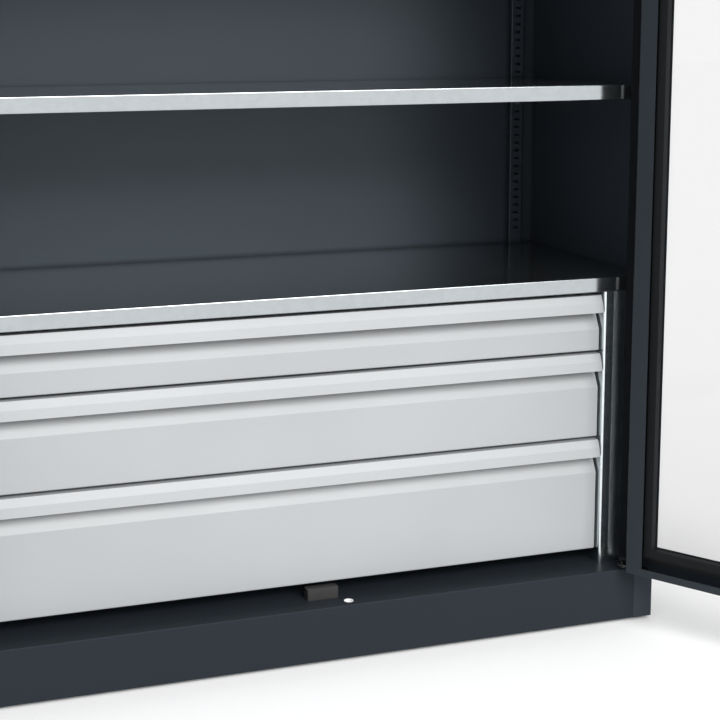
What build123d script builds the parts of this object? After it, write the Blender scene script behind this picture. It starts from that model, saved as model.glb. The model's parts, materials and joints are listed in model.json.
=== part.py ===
from build123d import *
import math
import os

# A double-door workshop cupboard of folded sheet steel with three drawers in its base.
# X runs to the right, Y to the back and Z up, in millimetres. The origin lies on the floor
# under the middle of the cupboard with both doors standing open. Pieces named right are
# modelled at positive X, and the left ones are their mirror images.

# Body
HEIGHT = 1950.0
WIDTH = 1200.0
DEPTH = 500.0
SHEET = 1.0
SHEET_BEND = 1.8
GLIDE_HEIGHT = 5.0
PLINTH_HEIGHT = 90.0
HEADER_HEIGHT = 40.0
HEADER_RETURN = 62.0
POST_WIDTH = 36.0
POST_DEPTH = 35.0
REAR_FLANGE = 18.0
BACK_RECESS = 16.0
BACK_CLEARANCE = 25.0
PANEL_FLANGE = 30.0
APRON_RETURN = 18.0

# Clearances
SEAT_GAP = 0.3
RUNNING_GAP = 0.1

# Perforation of the rails and posts
SLOT_PITCH = 15.0
SLOT_WIDTH = 10.0
SLOT_HEIGHT = 4.5
RAIL_WIDTH = 26.0
RAIL_DEPTH = 12.0
RAIL_X = 556.0
POST_SLOT_X = 581.0
TOP_SLOT_MARGIN = 330.0
POST_SLOT_START = 270.0

# Shelves
SHELF_THICKNESS = 25.0
SHELF_INSET = 40.0
SHELF_RETURN = 14.0
SHELF_SIDE_GAP = 3.0
SHELF_REAR_GAP = 1.5
SHELF_RIB_WIDTH = 60.0
SHELF_RIB_DEPTH = 12.0
COVER_TOP = 595.0
SHELF_TOPS = {"lower": 914.0, "middle": 1244.0, "upper": 1589.0}
CLIP_WIDTH = 9.0
CLIP_THICKNESS = 2.0
CLIP_TONGUE = 14.0
CLIP_HOOK = 3.0

# Drawer fronts, as depths behind the plinth front and heights above the front's lower edge
DRAWER_PITCHES = {"lower": 200.0, "middle": 150.0, "upper": 100.0}
DRAWER_BASE = 118.0
FRONT_GAP = 4.2
FRONT_SIDE_GAP = 3.0
FRONT_SHEET = 1.5
FRONT_BEND = 2.4
FLAT_INSET = 53.0
RECESS_INSET = 68.5
SLANT_HEIGHT = 30.5
GRIP_HEIGHT = 28.5
GRIP_BOTTOM_INSET = 38.5
GRIP_TOP_INSET = 47.0
GRIP_BULGE = 1.6
GRIP_BULGE_DROP = 13.5
GRIP_HEM = 5.0

# Drawer trays and slides
TRAY_DEPTH = 385.0
TRAY_SHEET = 1.2
TRAY_BEND = 2.5
TRAY_HEM = 7.0
TRAY_LIFT = 7.0
TRAY_TOP_MARGIN = 26.0
DRAWER_TRAVEL = 370.0
HOUSING_INSET = 42.0
HOUSING_HALF_WIDTH = 518.0
HOUSING_SHEET = 1.5
HOUSING_BEND = 4.5
HOUSING_REAR_MARGIN = 20.0
HOUSING_OUTER_X = 594.0
SLIDE_SPACE = 12.6
SLIDE_SHEET = 1.2
SLIDE_HEIGHT = 35.0
SLIDE_LIFT = 22.0
SLIDE_OVERLAP = 20.0
SLIDE_PLAY = 0.4

# Doors, modelled closed and then swung open
DOOR_OPEN = 122.0
DOOR_DEPTH = 34.5
DOOR_SHEET = 1.0
DOOR_GAP = 4.0
DOOR_SIDE_GAP = 6.5
DOOR_END_GAP = 2.7
PIVOT_TO_POST = 17.5
PIVOT_INSET = 9.0
HINGE_STILE_INSET = 37.0
LIP_WIDTH = 29.6
LIP_HEIGHT = 12.4
WINDOW_HINGE_MARGIN = 77.5
WINDOW_FREE_MARGIN = 96.0
WINDOW_END_MARGIN = 44.0
PANE_THICKNESS = 4.0
PANE_OVERLAP = 12.0
SEAL_WIDTH = 24.0
SEAL_LAP = 1.5
SEAL_THICKNESS = 3.0
FRAME_HEIGHT = 12.6
FRAME_TOP = 14.0
FRAME_FOOT = 10.0
FRAME_SHEET = 1.2
STRIP_LAP = 14.0
STRIP_WIDTH = 44.0
STRIP_END_GAP = 12.0

# Hinge plates and pins
HINGE_PLATE_THICKNESS = 4.0
HINGE_PLATE_REACH = 24.0
PIN_RADIUS = 4.0
PIN_COLLAR_RADIUS = 6.0
PIN_LENGTH = 7.0

# Lock gear on the right door
ROD_X = 54.0
ROD_INSET = 18.6
ROD_RADIUS = 6.0
ROD_CHAMFER = 1.2
ROD_TRAVEL_ANGLE = 90.0
ROD_HOLE_RADIUS = 7.8
ROD_REST_MARGIN = 2.3
BUSH_WALL = 1.3
BUSH_RIM = 0.4
BUSH_LENGTH = 9.0
GEAR_MODULE = 1.5
GEAR_TEETH = 15
GEAR_WIDTH = 8.0
GEAR_ADDENDUM = 1.2
GEAR_DEDENDUM = 1.8
GEAR_BACKLASH = 0.36
PRESSURE_ANGLE = 20.0
RACK_FLAT = 3.0
RACK_END = 11.0
SPINDLE_SIDE = 6.0
HANDLE_Z = 1010.0
HANDLE_LENGTH = 118.0
HANDLE_WIDTH = 22.0
HANDLE_TIP_WIDTH = 16.0
HANDLE_THICKNESS = 13.0
HANDLE_CHAMFER = 3.0
HANDLE_STANDOFF = 22.0
HUB_RADIUS = 14.0
CYLINDER_RADIUS = 8.5
CYLINDER_DEPTH = 16.0
KEYWAY_WIDTH = 1.6
KEYWAY_LENGTH = 8.0
ESCUTCHEON_WIDTH = 40.0
ESCUTCHEON_LENGTH = 150.0
ESCUTCHEON_THICKNESS = 7.0
ESCUTCHEON_CHAMFER = 2.0
CASE_WALL = 1.5
CASE_SIDE_MARGIN = 9.0
CASE_HALF_HEIGHT = 52.0
CASE_DEPTH = 28.0
GUIDE_WIDTH = 22.0
GUIDE_HEIGHT = 18.0
GUIDE_DEPTH = 28.5
GUIDE_MARGIN = 40.0
GUIDE_CHAMFER = 3.0

# Stop blocks and feet
STOP_LEFT = -10.0
STOP_RIGHT = 43.0
STOP_INSET = 36.6
STOP_DEPTH = 19.0
STOP_HEIGHT = 18.4
STOP_CHAMFER = 1.5
FOOT_SIDE = 16.0
FOOT_CHAMFER = 1.2
PLUG_HEIGHT = 14.0

# Derived places
HALF_WIDTH = WIDTH / 2
INNER_HALF_WIDTH = HALF_WIDTH - SHEET
POST_X = HALF_WIDTH - POST_WIDTH
PIVOT_X = POST_X - PIVOT_TO_POST
FREE_X = DOOR_GAP / 2
DOOR_EDGE_X = POST_X - DOOR_SIDE_GAP
STILE_X = POST_X - HINGE_STILE_INSET

# The open door's inner free corner is the front of the whole part.
DOOR_REACH = (
    (PIVOT_X - FREE_X) * math.sin(math.radians(DOOR_OPEN))
    - (DOOR_DEPTH - PIVOT_INSET) * math.cos(math.radians(DOOR_OPEN))
    - PIVOT_INSET
)
FRONT = (DOOR_REACH - DEPTH) / 2
REAR = FRONT + DEPTH
BACK_FACE = REAR - BACK_RECESS - SHEET
FLOOR_TOP = GLIDE_HEIGHT + PLINTH_HEIGHT
HEADER_BOTTOM = HEIGHT - HEADER_HEIGHT
DOOR_BOTTOM = FLOOR_TOP + DOOR_END_GAP
DOOR_TOP = HEADER_BOTTOM - DOOR_END_GAP
DOOR_HEIGHT = DOOR_TOP - DOOR_BOTTOM
DOOR_MIDDLE = (DOOR_TOP + DOOR_BOTTOM) / 2
DOOR_INNER = FRONT + DOOR_DEPTH
PIVOT_Y = FRONT + PIVOT_INSET
HINGE_EYE_RADIUS = PIVOT_INSET - DOOR_SHEET - SEAT_GAP
RAIL_FACE = BACK_FACE - RAIL_DEPTH
SHELF_HALF_WIDTH = INNER_HALF_WIDTH - SHELF_SIDE_GAP
DRAWER_FRONT_REAR = FRONT + RECESS_INSET + FRONT_SHEET
TRAY_FRONT = DRAWER_FRONT_REAR + SEAT_GAP
FRONT_HALF_WIDTH = HOUSING_HALF_WIDTH - FRONT_SIDE_GAP
TRAY_HALF_WIDTH = HOUSING_HALF_WIDTH - SLIDE_SPACE
SLIDE_LENGTH = DRAWER_TRAVEL + SLIDE_OVERLAP
GEAR_RADIUS = GEAR_MODULE * GEAR_TEETH / 2
GEAR_X = ROD_X - RACK_FLAT + GEAR_ADDENDUM - GEAR_RADIUS
UPPER_ROD_X = 2 * GEAR_X - ROD_X
SPINDLE_RADIUS = SPINDLE_SIDE / math.sqrt(2)
ROD_TRAVEL = GEAR_RADIUS * math.radians(ROD_TRAVEL_ANGLE)
ROD_Y = FRONT + ROD_INSET
ROD_CUT_WIDTH = 2 * (ROD_RADIUS + SEAT_GAP)
GUIDE_BORE = 2 * (ROD_RADIUS + RUNNING_GAP)
SPINDLE_CUT_WIDTH = 2 * (SPINDLE_RADIUS + SEAT_GAP)
WINDOW_LEFT = FREE_X + WINDOW_FREE_MARGIN
WINDOW_RIGHT = POST_X - WINDOW_HINGE_MARGIN
WINDOW_BOTTOM = DOOR_BOTTOM + WINDOW_END_MARGIN
WINDOW_TOP = DOOR_TOP - WINDOW_END_MARGIN
WINDOW_X = (WINDOW_LEFT + WINDOW_RIGHT) / 2
WINDOW_WIDTH = WINDOW_RIGHT - WINDOW_LEFT
WINDOW_HEIGHT = WINDOW_TOP - WINDOW_BOTTOM
PANE_FACE = FRONT + DOOR_SHEET + SEAT_GAP
PANE_REAR = PANE_FACE + PANE_THICKNESS
SEAL_FACE = PANE_REAR + SEAT_GAP
FRAME_FACE = SEAL_FACE + SEAL_THICKNESS + SEAT_GAP
HUB_SEAT = FRONT - ESCUTCHEON_THICKNESS - SEAT_GAP
LEVER_REAR = HUB_SEAT - HANDLE_STANDOFF
HANDLE_FACE = LEVER_REAR - HANDLE_THICKNESS
SPINDLE_FACE = HANDLE_FACE + CYLINDER_DEPTH + SEAT_GAP
RIGHT_HINGE = Axis((PIVOT_X, PIVOT_Y, 0), (0, 0, 1))
LEFT_HINGE = Axis((-PIVOT_X, PIVOT_Y, 0), (0, 0, 1))


def upright(y):
    """A plane facing the front at depth y, with X across and Z up."""
    return Plane.XZ.offset(-y)


def save(piece, name):
    """Labels a piece and writes it to the file of its name."""
    piece.label = name
    export_step(piece, "parts/" + name + ".step")


def mirrored(piece):
    """The left-hand twin of a right-hand piece."""
    return piece.mirror(Plane.YZ)


def opened_right(piece):
    """A piece of the right door, swung open with it."""
    return piece.rotate(RIGHT_HINGE, DOOR_OPEN)


def opened_left(piece):
    """A piece of the left door, swung open with it."""
    return piece.rotate(LEFT_HINGE, -DOOR_OPEN)


def folded(points, radius, thickness, side, sharp=()):
    """The section of a sheet folded along points on its visible face, some of them sharp."""
    bends = {(round(x, 3), round(z, 3)) for x, z in points[1:-1] if (x, z) not in sharp}
    with BuildSketch() as section:
        with BuildLine():
            Polyline(*points)
            offset(amount=thickness, side=side, kind=Kind.INTERSECTION)
        make_face()
        corners = [v for v in section.vertices() if (round(v.X, 3), round(v.Y, 3)) in bends]
        fillet(corners, radius)
    return section.sketch


def slot_heights():
    """The heights of the slots in the rails, all above the drawer block."""
    lowest = COVER_TOP + SLOT_PITCH * 2
    count = int((HEADER_BOTTOM - TOP_SLOT_MARGIN - lowest) // SLOT_PITCH) + 1
    return [lowest + SLOT_PITCH * n for n in range(count)]


def post_slot_heights():
    """Every second height of those in the rails, from POST_SLOT_START above the cover."""
    return [z for z in slot_heights() if z >= COVER_TOP + POST_SLOT_START][::2]


def slot_column(x, heights):
    """A column of evenly spaced slots at x, drawn in the upright sketch that is open."""
    with Locations((x, (heights[0] + heights[-1]) / 2)):
        with GridLocations(0, heights[1] - heights[0], 1, len(heights)):
            Rectangle(SLOT_WIDTH, SLOT_HEIGHT)


def side_panel():
    """Side wall, hollow front post and rear flange, folded from one sheet."""
    with BuildPart() as panel:
        with BuildSketch(Plane.XY.offset(GLIDE_HEIGHT)) as section:
            with Locations((HALF_WIDTH, FRONT)):
                Rectangle(SHEET, DEPTH, align=(Align.MAX, Align.MIN))
                Rectangle(POST_WIDTH, POST_DEPTH, align=(Align.MAX, Align.MIN))
            with Locations((HALF_WIDTH, REAR)):
                Rectangle(REAR_FLANGE, SHEET, align=(Align.MAX, Align.MAX))
            with Locations((INNER_HALF_WIDTH, FRONT + SHEET)):
                Rectangle(
                    POST_WIDTH - 2 * SHEET,
                    POST_DEPTH - 2 * SHEET,
                    align=(Align.MAX, Align.MIN),
                    mode=Mode.SUBTRACT,
                )
            outer = section.vertices().group_by(Axis.Y)
            fillet(outer[0] + outer[-1].sort_by(Axis.X)[-1:], SHEET_BEND)
        extrude(amount=HEIGHT - SHEET - GLIDE_HEIGHT)
        with BuildSketch(upright(FRONT + POST_DEPTH - SHEET)):
            slot_column(POST_SLOT_X, post_slot_heights())
        extrude(amount=-SHEET, mode=Mode.SUBTRACT)
    return panel


def back_panel():
    """Back wall: a shallow pan that opens to the rear between the side panels."""
    width = 2 * (INNER_HALF_WIDTH - SEAT_GAP)
    low = GLIDE_HEIGHT + BACK_CLEARANCE
    height = HEIGHT - SHEET - SEAT_GAP - low
    depth = BACK_RECESS - SEAT_GAP
    middle = low + height / 2
    with BuildPart() as panel:
        with BuildSketch(upright(BACK_FACE)):
            with Locations((0, middle)):
                Rectangle(width, height)
        extrude(amount=-depth)
        with BuildSketch(upright(BACK_FACE + SHEET)):
            with Locations((0, middle)):
                Rectangle(width - 2 * SHEET, height - 2 * SHEET)
        extrude(amount=-(depth - SHEET), mode=Mode.SUBTRACT)
    return panel


def bottom_panel():
    """Cupboard floor, folded down at the front to make the plinth."""
    half = POST_X - SEAT_GAP
    wide = INNER_HALF_WIDTH - SEAT_GAP
    rear = BACK_FACE - SEAT_GAP
    notch = FRONT + POST_DEPTH + SEAT_GAP
    with BuildPart() as panel:
        with BuildSketch(Plane.YZ.offset(-half)):
            add(
                folded(
                    [
                        (FRONT + APRON_RETURN, GLIDE_HEIGHT),
                        (FRONT, GLIDE_HEIGHT),
                        (FRONT, FLOOR_TOP),
                        (rear, FLOOR_TOP),
                        (rear, FLOOR_TOP - PANEL_FLANGE),
                    ],
                    SHEET_BEND,
                    SHEET,
                    Side.RIGHT,
                )
            )
        extrude(amount=2 * half)
        with BuildSketch(Plane.XY.offset(FLOOR_TOP - SHEET)):
            for side in (-1, 1):
                with Locations((side * (half + wide) / 2, (notch + rear) / 2)):
                    Rectangle(wide - half, rear - notch)
        extrude(amount=SHEET)
        with BuildSketch(Plane.XY.offset(FLOOR_TOP - PANEL_FLANGE)):
            for side in (-1, 1):
                with Locations((side * (wide - SHEET / 2), (notch + rear) / 2)):
                    Rectangle(SHEET, rear - notch)
        extrude(amount=PANEL_FLANGE)
        with BuildSketch(Plane.XY.offset(FLOOR_TOP - SHEET)):
            with Locations((ROD_X, ROD_Y)):
                Circle(ROD_HOLE_RADIUS)
        extrude(amount=SHEET, mode=Mode.SUBTRACT)
    return panel


def top_panel():
    """Roof sheet over the side panels, with the header folded down between the posts."""
    half = POST_X - SEAT_GAP
    with BuildPart() as panel:
        with BuildSketch(Plane.YZ.offset(-half)):
            add(
                folded(
                    [
                        (REAR, HEIGHT),
                        (FRONT, HEIGHT),
                        (FRONT, HEADER_BOTTOM),
                        (FRONT + HEADER_RETURN, HEADER_BOTTOM),
                        (FRONT + HEADER_RETURN, HEADER_BOTTOM + APRON_RETURN),
                    ],
                    SHEET_BEND,
                    SHEET,
                    Side.LEFT,
                )
            )
        extrude(amount=2 * half)
        with BuildSketch(Plane.XY.offset(HEIGHT - SHEET)):
            with Locations((0, FRONT + SHEET_BEND)):
                Rectangle(WIDTH, DEPTH - SHEET_BEND, align=(Align.CENTER, Align.MIN))
            for side in (-1, 1):
                with Locations((side * (half + HALF_WIDTH) / 2, FRONT + SHEET_BEND / 2)):
                    Rectangle(HALF_WIDTH - half, SHEET_BEND)
        extrude(amount=SHEET)
        with BuildSketch(Plane.XY.offset(HEADER_BOTTOM)):
            with Locations((UPPER_ROD_X, ROD_Y)):
                Circle(ROD_HOLE_RADIUS)
        extrude(amount=SHEET, mode=Mode.SUBTRACT)
    return panel


def rear_rail():
    """Perforated channel on the back wall that the shelf clips hook into."""
    height = HEADER_BOTTOM - COVER_TOP - 2 * SEAT_GAP
    with BuildPart() as rail:
        with BuildSketch(Plane.XY.offset(COVER_TOP + SEAT_GAP)) as section:
            with Locations((RAIL_X, RAIL_FACE)):
                Rectangle(RAIL_WIDTH, RAIL_DEPTH, align=(Align.CENTER, Align.MIN))
            fillet(section.vertices().group_by(Axis.Y)[0], SHEET_BEND)
            with Locations((RAIL_X, RAIL_FACE + SHEET)):
                Rectangle(
                    RAIL_WIDTH - 2 * SHEET,
                    RAIL_DEPTH,
                    align=(Align.CENTER, Align.MIN),
                    mode=Mode.SUBTRACT,
                )
        extrude(amount=height)
        with BuildSketch(upright(RAIL_FACE)):
            slot_column(RAIL_X, slot_heights())
        extrude(amount=-SHEET, mode=Mode.SUBTRACT)
    return rail


def shelf(top, rear):
    """Galvanised shelf pan with folded edges and a stiffening channel underneath."""
    low = top - SHELF_THICKNESS
    front = FRONT + SHELF_INSET
    half = SHELF_HALF_WIDTH
    with BuildPart() as pan:
        with BuildSketch(Plane.YZ.offset(-half)):
            add(
                folded(
                    [
                        (front + SHELF_RETURN, low),
                        (front, low),
                        (front, top),
                        (rear, top),
                        (rear, low),
                        (rear - SHELF_RETURN, low),
                    ],
                    SHEET_BEND,
                    SHEET,
                    Side.RIGHT,
                    sharp=[(rear, top), (rear, low)],
                )
            )
        extrude(amount=2 * half)
        with BuildSketch(Plane.XY.offset(low + SHEET)):
            for side in (-1, 1):
                with Locations((side * (half - SHEET / 2), (front + rear) / 2)):
                    Rectangle(SHEET, rear - front - 2 * SHEET)
        extrude(amount=SHELF_THICKNESS - SHEET * 2)
        with BuildSketch(Plane.YZ.offset(SHEET - half)):
            with Locations(((front + rear) / 2, top - SHEET)):
                Rectangle(SHELF_RIB_WIDTH, SHELF_RIB_DEPTH, align=(Align.CENTER, Align.MAX))
                Rectangle(
                    SHELF_RIB_WIDTH - 2 * SHEET,
                    SHELF_RIB_DEPTH - SHEET,
                    align=(Align.CENTER, Align.MAX),
                    mode=Mode.SUBTRACT,
                )
        extrude(amount=2 * (half - SHEET))
    return pan


def clip_level(top):
    """The height of the slots that the clips of a shelf hook into, below the shelf."""
    low = top - SHELF_THICKNESS - CLIP_THICKNESS
    return max(z for z in post_slot_heights() if z + SLOT_HEIGHT < low)


def shelf_clips():
    """Four hooked steel clips for each shelf, two in the rear rails and two in the posts."""
    rail_face = RAIL_FACE
    post_face = FRONT + POST_DEPTH
    rooted = SLOT_HEIGHT - 2 * SEAT_GAP
    with BuildPart() as clips:
        for top in SHELF_TOPS.values():
            low = top - SHELF_THICKNESS - SEAT_GAP
            slot = clip_level(top)
            for side in (-1, 1):
                for x, face, out in (
                    (RAIL_X, rail_face, -1),
                    (POST_SLOT_X, post_face, 1),
                ):
                    y = face + out * SEAT_GAP
                    reach = CLIP_TONGUE if out < 0 else CLIP_TONGUE + SHELF_RETURN
                    with BuildSketch(Plane.YZ.offset(side * x - CLIP_WIDTH / 2)):
                        outline = [
                            (y, slot - rooted / 2),
                            (y + out * CLIP_THICKNESS, slot - rooted / 2),
                            (y + out * CLIP_THICKNESS, low - CLIP_THICKNESS),
                            (y + out * reach, low - CLIP_THICKNESS),
                            (y + out * reach, low),
                            (y, low),
                            (y, slot + rooted / 2),
                            (y - out * CLIP_HOOK, slot + rooted / 2),
                            (y - out * CLIP_HOOK, slot - rooted / 2),
                        ]
                        Polygon(*outline, align=None)
                    extrude(amount=CLIP_WIDTH)
    return clips


def drawer_housing():
    """Side frame of the drawer block: front flange, slide wall and rear flange."""
    low = FLOOR_TOP + SEAT_GAP
    height = COVER_TOP - SHELF_THICKNESS - SEAT_GAP - low
    rear = BACK_FACE - HOUSING_REAR_MARGIN
    with BuildPart() as housing:
        with BuildSketch(Plane.XY.offset(low)):
            add(
                folded(
                    [
                        (HOUSING_OUTER_X, FRONT + HOUSING_INSET),
                        (HOUSING_HALF_WIDTH, FRONT + HOUSING_INSET),
                        (HOUSING_HALF_WIDTH, rear),
                        (HOUSING_OUTER_X, rear),
                    ],
                    HOUSING_BEND,
                    HOUSING_SHEET,
                    Side.RIGHT,
                )
            )
        extrude(amount=height)
    return housing


def drawer_bottoms():
    """The lower edge of each drawer front, by the drawer's name."""
    levels = {}
    level = DRAWER_BASE
    for name, pitch in DRAWER_PITCHES.items():
        levels[name] = level
        level += pitch
    return levels


def slide_box(u_low, u_high, v_low, v_high, centre):
    """A strip of a slide's section: u runs from the housing wall to the tray, v up."""
    with Locations((HOUSING_HALF_WIDTH - (u_low + u_high) / 2, centre + (v_low + v_high) / 2)):
        Rectangle(u_high - u_low, v_high - v_low)


def slide_member(member, centre):
    """One member of a telescopic slide on the right of a drawer, at the height centre."""
    half = SLIDE_HEIGHT / 2
    step = SLIDE_SHEET + SLIDE_PLAY
    depth = SLIDE_SPACE - SEAT_GAP
    inner_web = depth - SLIDE_SHEET
    middle_low = 2 * SEAT_GAP + SLIDE_SHEET
    middle_high = inner_web - SEAT_GAP
    middle_web = (middle_low + middle_high - SLIDE_SHEET) / 2
    sections = {
        "outer": (half, SEAT_GAP, SEAT_GAP, middle_web),
        "middle": (half - step, middle_web, middle_low, middle_high),
        "inner": (half - 2 * step, inner_web, middle_web + step, depth),
    }
    reach, web, low, high = sections[member]
    with BuildPart() as strip:
        with BuildSketch(upright(TRAY_FRONT)):
            slide_box(web, web + SLIDE_SHEET, -reach, reach, centre)
            slide_box(low, high, reach - SLIDE_SHEET, reach, centre)
            slide_box(low, high, -reach, SLIDE_SHEET - reach, centre)
        extrude(amount=-SLIDE_LENGTH)
    return strip


def drawer_front(level, height):
    """Folded drawer front with a slanted shoulder under an overhanging grip lip."""
    top = level + height
    grip_low = top - GRIP_HEIGHT
    shoulder = grip_low - SLANT_HEIGHT
    bulge_y = FRONT + (GRIP_BOTTOM_INSET + GRIP_TOP_INSET) / 2 - GRIP_BULGE
    hem_y = FRONT + GRIP_BOTTOM_INSET + GRIP_HEM
    with BuildPart() as front:
        with BuildSketch(Plane.YZ.offset(-FRONT_HALF_WIDTH)):
            add(
                folded(
                    [
                        (DRAWER_FRONT_REAR, level),
                        (FRONT + FLAT_INSET, level),
                        (FRONT + FLAT_INSET, shoulder),
                        (FRONT + RECESS_INSET, grip_low),
                        (FRONT + RECESS_INSET, top - FRONT_SHEET),
                        (FRONT + GRIP_TOP_INSET + FRONT_SHEET, top - FRONT_SHEET),
                        (bulge_y + FRONT_SHEET, top - GRIP_BULGE_DROP),
                        (FRONT + GRIP_BOTTOM_INSET + FRONT_SHEET, grip_low + FRONT_SHEET),
                        (hem_y, grip_low + FRONT_SHEET),
                    ],
                    FRONT_BEND,
                    FRONT_SHEET,
                    Side.RIGHT,
                )
            )
        extrude(amount=2 * FRONT_HALF_WIDTH)
        for end in (-FRONT_HALF_WIDTH, FRONT_HALF_WIDTH - FRONT_SHEET):
            with BuildSketch(Plane.YZ.offset(end)):
                Polygon(
                    (FRONT + FLAT_INSET + FRONT_SHEET / 2, level + FRONT_SHEET),
                    (DRAWER_FRONT_REAR, level + FRONT_SHEET),
                    (DRAWER_FRONT_REAR, grip_low),
                    (FRONT + RECESS_INSET + FRONT_SHEET / 2, grip_low),
                    (FRONT + FLAT_INSET + FRONT_SHEET / 2, shoulder),
                    align=None,
                )
            extrude(amount=FRONT_SHEET)
    return front


def drawer_tray(level, height):
    """Folded drawer tray with hemmed sides, closed by a front and a back wall."""
    low = level + TRAY_LIFT
    top = level + height - TRAY_TOP_MARGIN
    half = TRAY_HALF_WIDTH
    with BuildPart() as tray:
        with BuildSketch(upright(TRAY_FRONT)):
            add(
                folded(
                    [
                        (-half + TRAY_HEM, top),
                        (-half, top),
                        (-half, low),
                        (half, low),
                        (half, top),
                        (half - TRAY_HEM, top),
                    ],
                    TRAY_BEND,
                    TRAY_SHEET,
                    Side.LEFT,
                    sharp=[(-half, top), (half, top)],
                )
            )
        extrude(amount=-TRAY_DEPTH)
        for y in (TRAY_FRONT, TRAY_FRONT + TRAY_DEPTH - TRAY_SHEET):
            with BuildSketch(upright(y)):
                with Locations((0, low + TRAY_SHEET / 2)):
                    Rectangle(
                        2 * (half - TRAY_BEND),
                        top - low - TRAY_SHEET,
                        align=(Align.CENTER, Align.MIN),
                    )
                with Locations((0, low + TRAY_BEND)):
                    Rectangle(
                        2 * half - TRAY_SHEET,
                        top - low - 2 * TRAY_BEND,
                        align=(Align.CENTER, Align.MIN),
                    )
            extrude(amount=-TRAY_SHEET)
    return tray


def door_panel(with_lock):
    """Door pan in its closed place: skin, edge walls, inner lips and the window opening."""
    eye_rear = PIVOT_Y + HINGE_EYE_RADIUS + SEAT_GAP
    with BuildPart() as panel:
        with BuildSketch(upright(FRONT)):
            with Locations((FREE_X, DOOR_BOTTOM)):
                Rectangle(STILE_X - FREE_X, DOOR_HEIGHT, align=(Align.MIN, Align.MIN))
        extrude(amount=-DOOR_DEPTH)
        fillet(panel.edges().filter_by(Axis.Z), SHEET_BEND)
        with BuildSketch(upright(FRONT + DOOR_SHEET)):
            with Locations((FREE_X + DOOR_SHEET, DOOR_BOTTOM + DOOR_SHEET)):
                Rectangle(
                    STILE_X - FREE_X - 2 * DOOR_SHEET,
                    DOOR_HEIGHT - 2 * DOOR_SHEET,
                    align=(Align.MIN, Align.MIN),
                )
        extrude(amount=-(DOOR_DEPTH - 2 * DOOR_SHEET), mode=Mode.SUBTRACT)
        with BuildSketch(upright(DOOR_INNER - DOOR_SHEET)):
            with Locations((FREE_X + LIP_WIDTH, DOOR_BOTTOM + LIP_HEIGHT)):
                Rectangle(
                    STILE_X - FREE_X - 2 * LIP_WIDTH,
                    DOOR_HEIGHT - 2 * LIP_HEIGHT,
                    align=(Align.MIN, Align.MIN),
                )
        extrude(amount=-DOOR_SHEET, mode=Mode.SUBTRACT)
        with BuildSketch(upright(FRONT)):
            with Locations((STILE_X - SHEET_BEND, DOOR_BOTTOM)):
                Rectangle(
                    DOOR_EDGE_X - STILE_X + SHEET_BEND,
                    DOOR_HEIGHT,
                    align=(Align.MIN, Align.MIN),
                )
        extrude(amount=-DOOR_SHEET)
        with BuildSketch(upright(FRONT)):
            with Locations((WINDOW_X, DOOR_MIDDLE)):
                Rectangle(WINDOW_WIDTH, WINDOW_HEIGHT)
        extrude(amount=-DOOR_SHEET, mode=Mode.SUBTRACT)
        for z, way in ((DOOR_BOTTOM + DOOR_SHEET, 1), (DOOR_TOP - DOOR_SHEET, -1)):
            with BuildSketch(Plane.XY.offset(z)):
                with Locations((STILE_X, FRONT + DOOR_SHEET)):
                    Rectangle(
                        2 * DOOR_SHEET,
                        eye_rear - FRONT - DOOR_SHEET,
                        align=(Align.CENTER, Align.MIN),
                    )
            extrude(amount=way * (HINGE_PLATE_THICKNESS + SEAT_GAP), mode=Mode.SUBTRACT)
        if with_lock:
            for x, z in ((ROD_X, DOOR_BOTTOM), (UPPER_ROD_X, DOOR_TOP - DOOR_SHEET)):
                with BuildSketch(Plane.XY.offset(z)):
                    with Locations((x, ROD_Y)):
                        Rectangle(ROD_CUT_WIDTH, ROD_CUT_WIDTH)
                extrude(amount=DOOR_SHEET, mode=Mode.SUBTRACT)
            with BuildSketch(upright(FRONT)):
                with Locations((GEAR_X, HANDLE_Z)):
                    Rectangle(SPINDLE_CUT_WIDTH, SPINDLE_CUT_WIDTH)
            extrude(amount=-DOOR_SHEET, mode=Mode.SUBTRACT)
    return panel


def window_ring(outer, inner):
    """A ring round the window, drawn in the open sketch with its offsets from the opening."""
    with Locations((WINDOW_X, DOOR_MIDDLE)):
        Rectangle(WINDOW_WIDTH + 2 * outer, WINDOW_HEIGHT + 2 * outer)
        Rectangle(WINDOW_WIDTH + 2 * inner, WINDOW_HEIGHT + 2 * inner, mode=Mode.SUBTRACT)


def window_pane():
    """Clear pane behind the door skin."""
    with BuildPart() as pane:
        with BuildSketch(upright(PANE_FACE)):
            with Locations((WINDOW_X, DOOR_MIDDLE)):
                Rectangle(WINDOW_WIDTH + 2 * PANE_OVERLAP, WINDOW_HEIGHT + 2 * PANE_OVERLAP)
        extrude(amount=-PANE_THICKNESS)
    return pane


def window_seal():
    """Rubber glazing seal, lapped over the edge of the pane."""
    skin = FRONT + DOOR_SHEET
    with BuildPart() as seal:
        with BuildSketch(upright(skin)):
            window_ring(SEAL_WIDTH, PANE_OVERLAP + SEAT_GAP)
        extrude(amount=-(SEAL_FACE - skin))
        with BuildSketch(upright(SEAL_FACE)):
            window_ring(SEAL_WIDTH, SEAL_LAP)
        extrude(amount=-SEAL_THICKNESS)
    return seal


def window_frame():
    """Folded frame that clamps the seal and the pane against the door skin."""
    with BuildPart() as frame:
        with BuildSketch(upright(FRAME_FACE)):
            window_ring(FRAME_FOOT, 0)
        extrude(amount=-FRAME_SHEET)
        with BuildSketch(upright(FRAME_FACE)):
            window_ring(FRAME_SHEET, 0)
        extrude(amount=-FRAME_HEIGHT)
        with BuildSketch(upright(FRAME_FACE + FRAME_HEIGHT - FRAME_SHEET)):
            window_ring(FRAME_TOP, 0)
        extrude(amount=-FRAME_SHEET)
    return frame


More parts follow.
